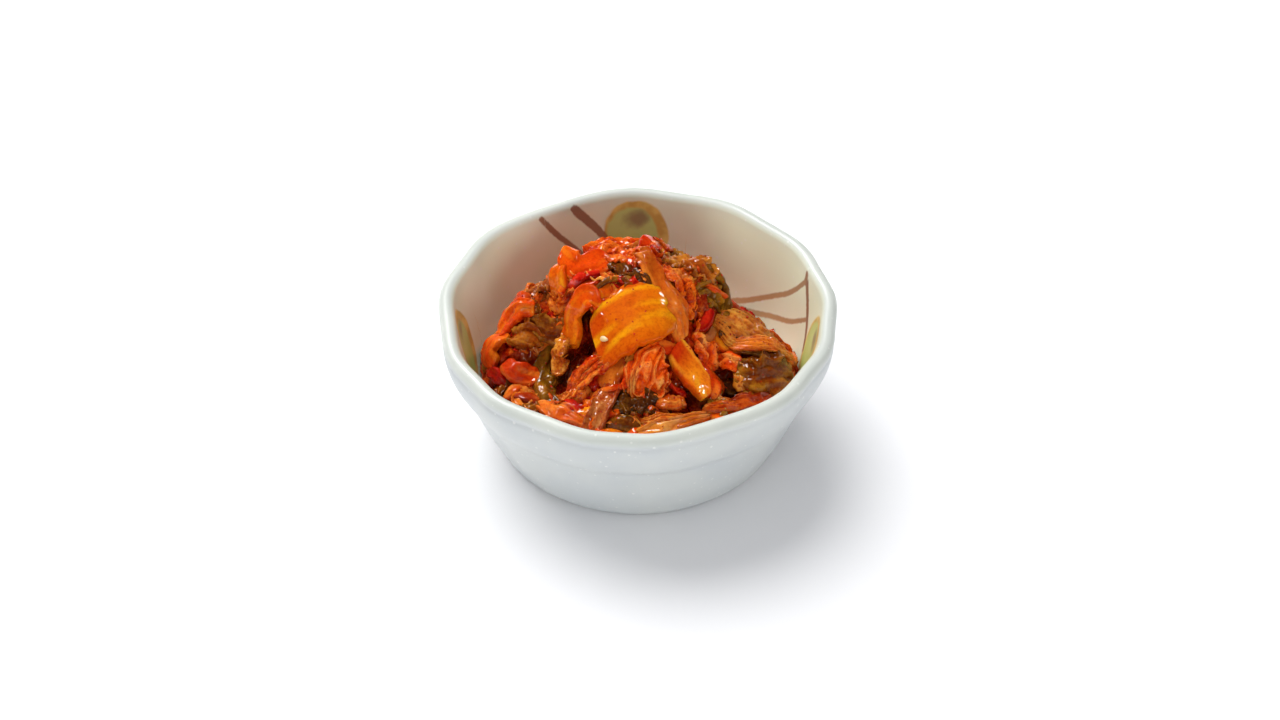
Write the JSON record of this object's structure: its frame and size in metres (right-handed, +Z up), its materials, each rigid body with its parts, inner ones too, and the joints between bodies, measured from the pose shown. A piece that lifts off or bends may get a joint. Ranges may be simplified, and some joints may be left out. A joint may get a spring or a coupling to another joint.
{
  "type": "kimchi in a small bowl",
  "caption": "Cut cabbage kimchi heaped in a small round stoneware side-dish bowl with a pressed, softly cornered mouth; the dish stands on its foot ring.",
  "frame": {"origin": "centre of the bowl's box at the level of its foot", "axes": "+Z up out of the bowl's mouth, -Y towards the lower front of the heap, +X to the right of it"},
  "size_m": [0.1254, 0.126, 0.0623],
  "materials": {
    "glaze": "gloss",
    "kimchi": "gloss"
  },
  "bodies": {
    "root": {"bowl": "glaze", "kimchi": "kimchi"}
  },
  "joints": []
}
